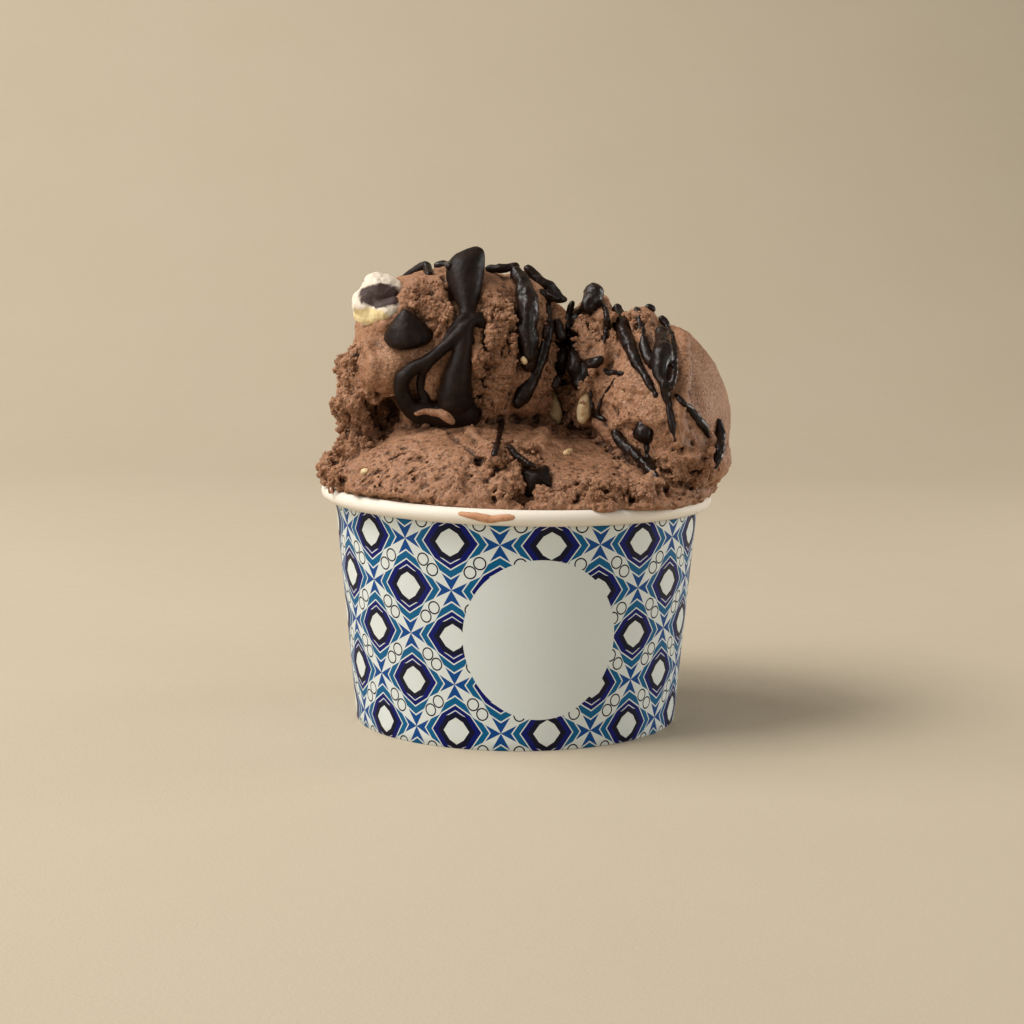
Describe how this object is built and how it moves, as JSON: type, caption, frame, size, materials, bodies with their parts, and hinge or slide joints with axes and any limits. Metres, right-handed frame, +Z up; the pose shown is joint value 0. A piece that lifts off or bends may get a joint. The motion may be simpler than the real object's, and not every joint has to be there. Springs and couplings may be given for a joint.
{
  "type": "gelato cup",
  "caption": "Paper tub heaped with torn and paddled chocolate gelato, with hardened chocolate drips, a tall chocolate drop, nuts and a pale chunk.",
  "frame": {"origin": "middle of the whole object's footprint, at floor level, so the heap's overhang puts the cup's axis a little to -X", "axes": "+Z up, the shown side faces -Y, and +X is to the right of someone who faces the shown side"},
  "size_m": [0.0995, 0.0948, 0.1149],
  "materials": {
    "printed_paper": "coated board, ivory with a blue, navy and teal print",
    "plain_paper": "coated board, ivory, not printed",
    "gelato": "chocolate gelato, matt, crumbly where torn and smooth where paddled",
    "dark_chocolate": "set dark chocolate, satin",
    "chocolate_sauce": "chocolate sauce set on the cold gelato, glossy",
    "nut": "blanched nut, satin",
    "pale_chunk": "white nougat with a brown patch, satin"
  },
  "bodies": {
    "root": {"cup_wall": "printed_paper", "cup_base": "plain_paper", "gelato": "gelato", "chocolate_spire": "dark_chocolate", "chocolate_kiss": "dark_chocolate", "pale_chunk": "pale_chunk", "chocolate_crest_drop": "chocolate_sauce", "chocolate_curl": "dark_chocolate", "chocolate_bar": "dark_chocolate", "chocolate_button": "chocolate_sauce", "chocolate_chunk": "dark_chocolate", "nut_left": "nut", "nut_right": "nut", "chocolate_band_long": "chocolate_sauce", "chocolate_band_hook": "chocolate_sauce", "chocolate_band_crest": "chocolate_sauce", "chocolate_drip_outer": "chocolate_sauce", "chocolate_drip_broad": "chocolate_sauce", "chocolate_drip_side": "chocolate_sauce", "chocolate_valley_pool": "chocolate_sauce", "chocolate_fork": "chocolate_sauce"}
  },
  "joints": []
}
